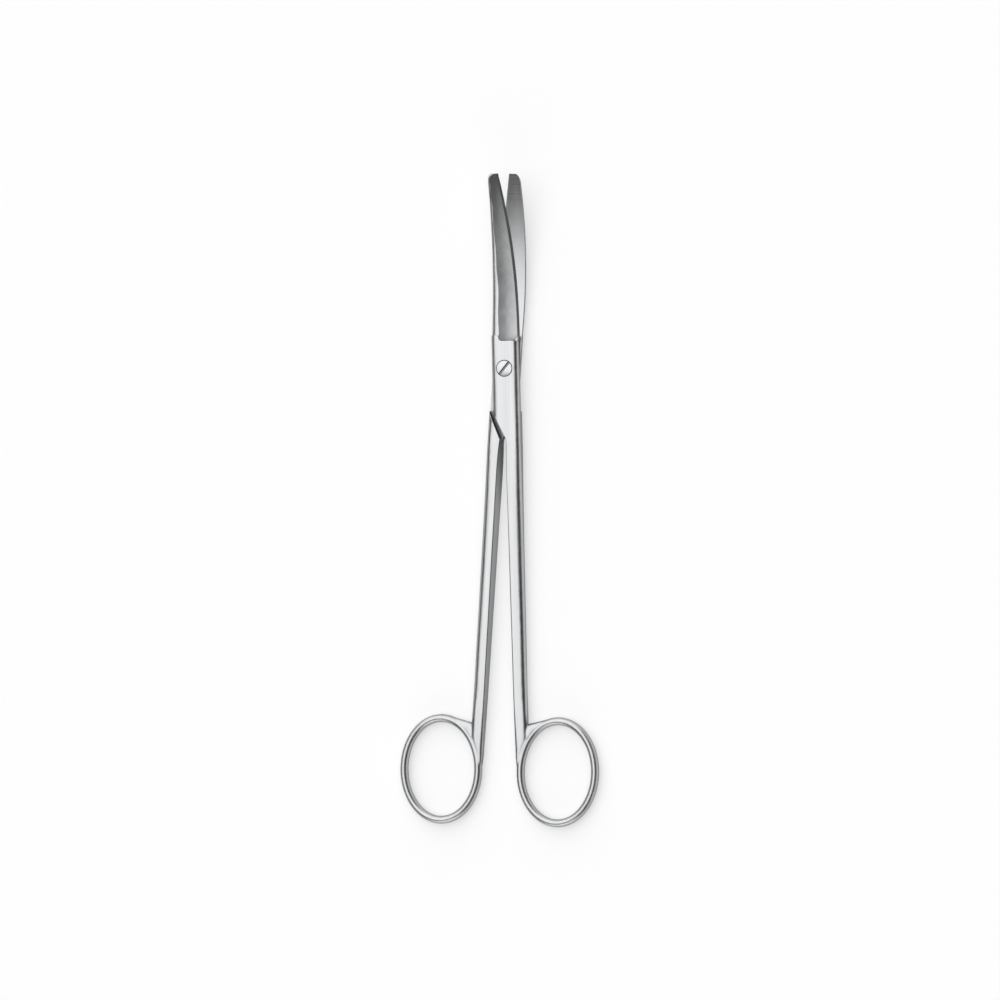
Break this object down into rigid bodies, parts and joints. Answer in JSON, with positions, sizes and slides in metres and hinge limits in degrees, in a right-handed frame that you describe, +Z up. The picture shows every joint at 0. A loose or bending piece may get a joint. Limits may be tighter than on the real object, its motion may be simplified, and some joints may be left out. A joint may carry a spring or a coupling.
{
  "type": "curved operating scissors",
  "caption": "Slender curved operating scissors with blunt tips, a slotted screw lap joint, long slim shanks and oval finger rings, slightly open.",
  "frame": {"origin": "where the pivot axis meets the underside of the lock, in the plane the scissors lie on", "axes": "+Y towards the tips, +Z up out of the front face, the way the blades curve, +X to the right seen from the front"},
  "size_m": [0.0632, 0.1999, 0.0119],
  "materials": {
    "front_steel": "satin",
    "rear_steel": "satin",
    "screw_steel": "polished"
  },
  "bodies": {
    "rear": {"rear_half": "rear_steel", "pivot_screw": "screw_steel"},
    "front": {"front_half": "front_steel"}
  },
  "joints": [
    {"name": "pivot", "type": "hinge", "parent": "rear", "child": "front", "pos_m": [0, 0, 0.0028], "axis": [0, 0, 1], "range_deg": [-5, 138]}
  ]
}
